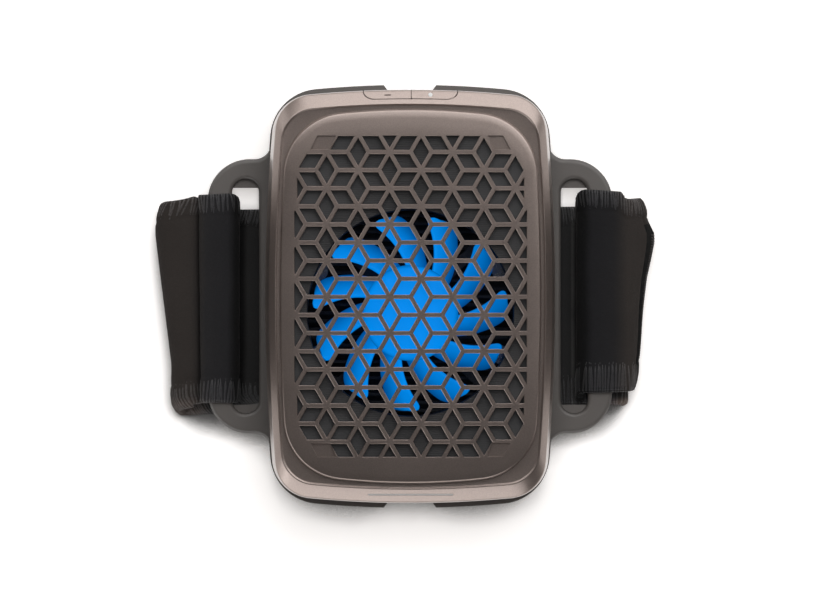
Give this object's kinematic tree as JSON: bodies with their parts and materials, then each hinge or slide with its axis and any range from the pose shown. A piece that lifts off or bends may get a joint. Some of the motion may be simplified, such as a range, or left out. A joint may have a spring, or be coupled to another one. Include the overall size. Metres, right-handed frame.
{
  "type": "hot cold therapy machine",
  "caption": "Strap-on hot and cold therapy unit: grilled housing with fan, contact plate and buttons, seated in a winged strap cradle.",
  "frame": {"origin": "on the resting surface, under the middle of the housing; the unit lies on its back on its strap", "axes": "+Z out of the grille, +Y towards the two buttons, +X to the right of a reader facing the grille with the buttons at the top"},
  "size_m": [0.1438, 0.1204, 0.0454],
  "materials": {
    "housing_bronze": "warm bronze-grey satin with a fine metallic flake",
    "cradle_plastic": "dark warm grey, fine matte texture",
    "button_bronze": "as the housing, satin",
    "lens_white": "small frosted light window",
    "strap_fabric": "black loop-faced neoprene with overlocked edges",
    "hook_fabric": "black hook tape",
    "screen_plastic": "dark grey louvred screen",
    "fan_black": "black",
    "fan_blue": "translucent blue, lit from below",
    "steel": "bright",
    "black_screw": "black oxide",
    "sintered_bronze": "oiled sleeve",
    "copper_coil": "lacquered winding",
    "ferrite": "dark magnet ring",
    "led_package": "small light packages",
    "aluminium": "fine bead-blasted",
    "black_anodised": "black anodised, fine bead-blasted",
    "ceramic_white": "white ceramic faces",
    "foam_black": "closed-cell foam",
    "seal_rubber": "soft black seal",
    "battery_wrap": "plain blue shrink wrap",
    "circuit_green": "solder mask",
    "chip_black": "moulded packages",
    "lead_red": "soft insulation"
  },
  "bodies": {
    "holder": {"cradle": "cradle_plastic", "strap_band": "strap_fabric", "strap_hook_patch": "hook_fabric"},
    "main_unit": {"air_screen": "screen_plastic", "battery_leads": "lead_red", "battery_pack": "battery_wrap", "battery_pad": "foam_black", "board_parts": "chip_black", "button_board": "circuit_green", "button_switches": "chip_black", "charging_socket": "steel", "contact_plate": "aluminium", "fan_bearing": "sintered_bronze", "fan_frame": "fan_black", "fan_leads": "lead_red", "fan_leds": "led_package", "fan_screws": "black_screw", "fan_stator": "copper_coil", "front_panel": "housing_bronze", "front_shell": "housing_bronze", "heat_sink": "black_anodised", "heat_sink_screws": "steel", "insulation_frame": "foam_black", "main_board": "circuit_green", "peltier_leads": "lead_red", "peltier_module": "ceramic_white", "plate_seal": "seal_rubber", "port_board": "circuit_green", "rear_shell": "housing_bronze", "shell_screws": "black_screw", "status_board": "circuit_green", "status_light": "lens_white", "thermistor": "chip_black"},
    "fan_rotor_body": {"fan_rotor": "fan_blue", "fan_shaft": "steel", "fan_magnet": "ferrite"},
    "button_left_body": {"button_left": "button_bronze"},
    "button_right_body": {"button_right": "button_bronze", "button_lens": "lens_white"}
  },
  "joints": [
    {"name": "unit_lift", "type": "slide", "parent": "holder", "child": "main_unit", "axis": [0, 0, 1], "range_m": [0, 0.03]},
    {"name": "fan_spin", "type": "hinge", "parent": "main_unit", "child": "fan_rotor_body", "pos_m": [0, -0.0047, 0.033], "axis": [0, 0, 1], "continuous": true},
    {"name": "button_left_press", "type": "slide", "parent": "main_unit", "child": "button_left_body", "axis": [0, -1, 0], "range_m": [0, 0.0005], "stiffness_N_per_m": 3000},
    {"name": "button_right_press", "type": "slide", "parent": "main_unit", "child": "button_right_body", "axis": [0, -1, 0], "range_m": [0, 0.0005], "stiffness_N_per_m": 3000}
  ]
}
